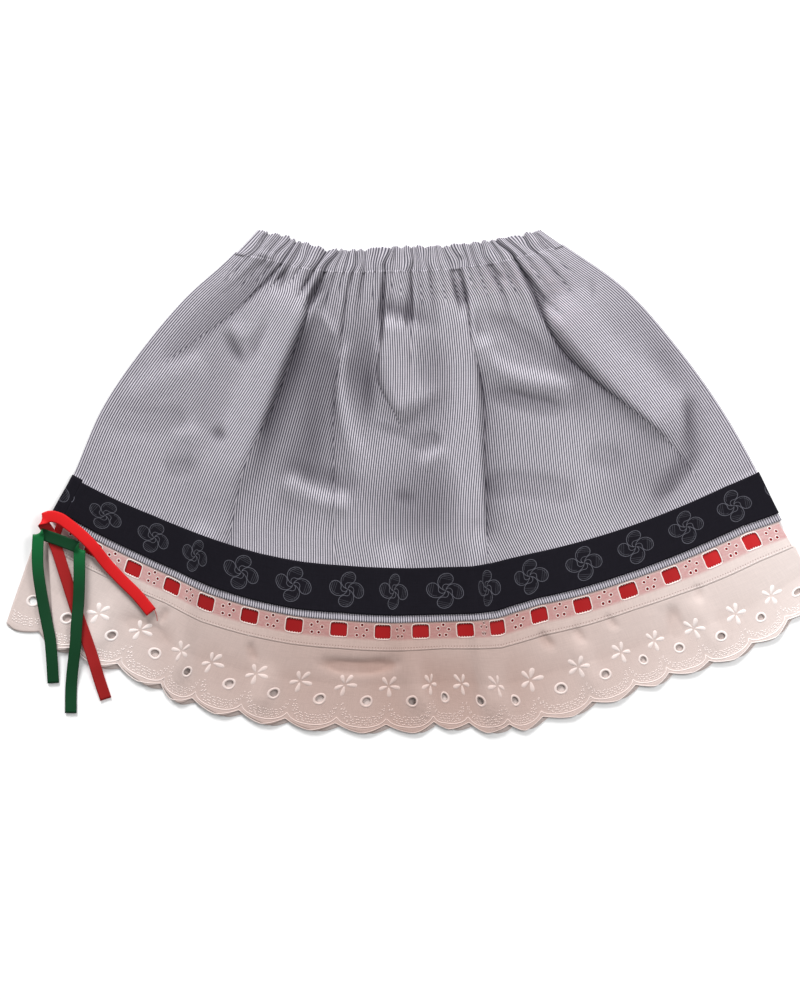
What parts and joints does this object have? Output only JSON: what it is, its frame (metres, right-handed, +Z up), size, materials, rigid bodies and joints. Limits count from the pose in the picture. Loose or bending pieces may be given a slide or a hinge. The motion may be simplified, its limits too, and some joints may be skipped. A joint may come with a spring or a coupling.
{
  "type": "child's folk costume skirt",
  "caption": "Child's folk costume skirt laid flat: striped gathered cotton, black tape band, ribbon-backed beading lace, scalloped openwork flounce and side ribbon ties.",
  "frame": {"origin": "on the surface that the skirt rests on, under the middle of its front", "axes": "+X to the wearer's left, which is the right side as seen from above, +Y towards the waist, +Z up out of the front"},
  "size_m": [0.6699, 0.4152, 0.0137],
  "materials": {
    "striped_cotton": "woven cotton, fine navy and white stripes",
    "black_tape": "woven black tape with thin grey outline motifs",
    "white_lace": "white cotton lace and openwork",
    "red_satin": "satin ribbon",
    "green_satin": "satin ribbon"
  },
  "bodies": {
    "root": {"front_panel": "striped_cotton", "back_panel": "striped_cotton", "waist_casing_front": "striped_cotton", "waist_casing_back": "striped_cotton", "band_front": "black_tape", "band_back": "black_tape", "band_end": "black_tape", "beading_front": "white_lace", "beading_back": "white_lace", "flounce_front": "white_lace", "flounce_back": "white_lace", "beading_ribbon_front": "red_satin", "beading_ribbon_back": "red_satin", "tie_red": "red_satin", "tie_green": "green_satin"}
  },
  "joints": []
}
